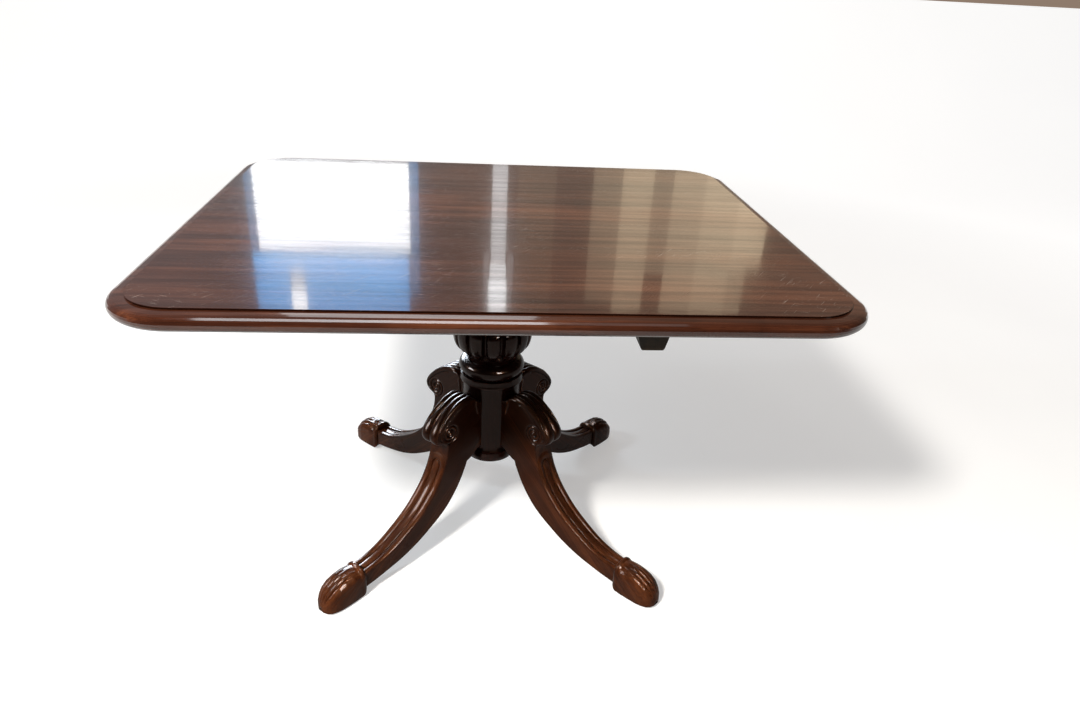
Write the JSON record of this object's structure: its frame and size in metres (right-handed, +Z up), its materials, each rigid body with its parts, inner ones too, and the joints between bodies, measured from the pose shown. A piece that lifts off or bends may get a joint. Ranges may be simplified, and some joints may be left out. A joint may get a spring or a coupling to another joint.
{
  "type": "breakfast table",
  "caption": "Tilt-top pedestal breakfast table: moulded rectangular top on a turned, fluted pillar with scrolled, reeded sabre legs on concealed castors.",
  "frame": {"origin": "on the floor under the middle of the pillar", "axes": "+Z up, +X along the long side of the top, +Y from the front edge towards the back, where the top hinges"},
  "size_m": [1.205, 1.03, 0.73],
  "materials": {
    "mahogany_top": "french polished",
    "mahogany_pillar": "polished, dark",
    "mahogany_leg": "polished",
    "bearer_wood": "stained, dull",
    "brass": "aged",
    "steel": "worn"
  },
  "bodies": {
    "stand": {"tilt_block": "bearer_wood", "pivot_pin_left": "steel", "pivot_pin_right": "steel", "strike_plate": "brass", "strike_screws": "brass", "column": "mahogany_pillar", "collar": "mahogany_pillar", "leg_block": "mahogany_pillar", "base_drop": "mahogany_pillar", "leg_front_left": "mahogany_leg", "leg_front_right": "mahogany_leg", "leg_back_left": "mahogany_leg", "leg_back_right": "mahogany_leg", "foot_front_left": "mahogany_leg", "foot_front_right": "mahogany_leg", "foot_back_left": "mahogany_leg", "foot_back_right": "mahogany_leg", "castor_plate_front_left": "brass", "castor_plate_front_right": "brass", "castor_plate_back_left": "brass", "castor_plate_back_right": "brass", "castor_screws": "brass"},
    "top": {"top_board_front": "mahogany_top", "top_board_middle": "mahogany_top", "top_board_back": "mahogany_top", "bearer_left": "bearer_wood", "bearer_right": "bearer_wood", "bearer_screws": "steel", "catch_case": "brass", "catch_screws": "brass"},
    "catch": {"catch_bolt": "brass", "catch_knob": "brass"},
    "castor_front_left": {"castor_fork_front_left": "brass", "castor_axle_front_left": "steel"},
    "wheel_front_left": {"castor_wheel_front_left": "brass"},
    "castor_front_right": {"castor_fork_front_right": "brass", "castor_axle_front_right": "steel"},
    "wheel_front_right": {"castor_wheel_front_right": "brass"},
    "castor_back_left": {"castor_fork_back_left": "brass", "castor_axle_back_left": "steel"},
    "wheel_back_left": {"castor_wheel_back_left": "brass"},
    "castor_back_right": {"castor_fork_back_right": "brass", "castor_axle_back_right": "steel"},
    "wheel_back_right": {"castor_wheel_back_right": "brass"}
  },
  "joints": [
    {"name": "top_tilt", "type": "hinge", "parent": "stand", "child": "top", "pos_m": [0, 0.15, 0.6829], "axis": [-1, 0, 0], "range_deg": [0, 90]},
    {"name": "catch_slide", "type": "slide", "parent": "top", "child": "catch", "axis": [0, 1, 0], "range_m": [0, 0.011]},
    {"name": "castor_swivel_front_left", "type": "hinge", "parent": "stand", "child": "castor_front_left", "pos_m": [-0.30901, -0.30901, 0.03], "axis": [0, 0, 1], "continuous": true},
    {"name": "wheel_spin_front_left", "type": "hinge", "parent": "castor_front_left", "child": "wheel_front_left", "pos_m": [-0.30476, -0.30476, 0.012], "axis": [0.7071, -0.7071, 0], "continuous": true},
    {"name": "castor_swivel_front_right", "type": "hinge", "parent": "stand", "child": "castor_front_right", "pos_m": [0.30901, -0.30901, 0.03], "axis": [0, 0, 1], "continuous": true},
    {"name": "wheel_spin_front_right", "type": "hinge", "parent": "castor_front_right", "child": "wheel_front_right", "pos_m": [0.30476, -0.30476, 0.012], "axis": [0.7071, 0.7071, 0], "continuous": true},
    {"name": "castor_swivel_back_left", "type": "hinge", "parent": "stand", "child": "castor_back_left", "pos_m": [-0.30901, 0.30901, 0.03], "axis": [0, 0, 1], "continuous": true},
    {"name": "wheel_spin_back_left", "type": "hinge", "parent": "castor_back_left", "child": "wheel_back_left", "pos_m": [-0.30476, 0.30476, 0.012], "axis": [-0.7071, -0.7071, 0], "continuous": true},
    {"name": "castor_swivel_back_right", "type": "hinge", "parent": "stand", "child": "castor_back_right", "pos_m": [0.30901, 0.30901, 0.03], "axis": [0, 0, 1], "continuous": true},
    {"name": "wheel_spin_back_right", "type": "hinge", "parent": "castor_back_right", "child": "wheel_back_right", "pos_m": [0.30476, 0.30476, 0.012], "axis": [-0.7071, 0.7071, 0], "continuous": true}
  ]
}
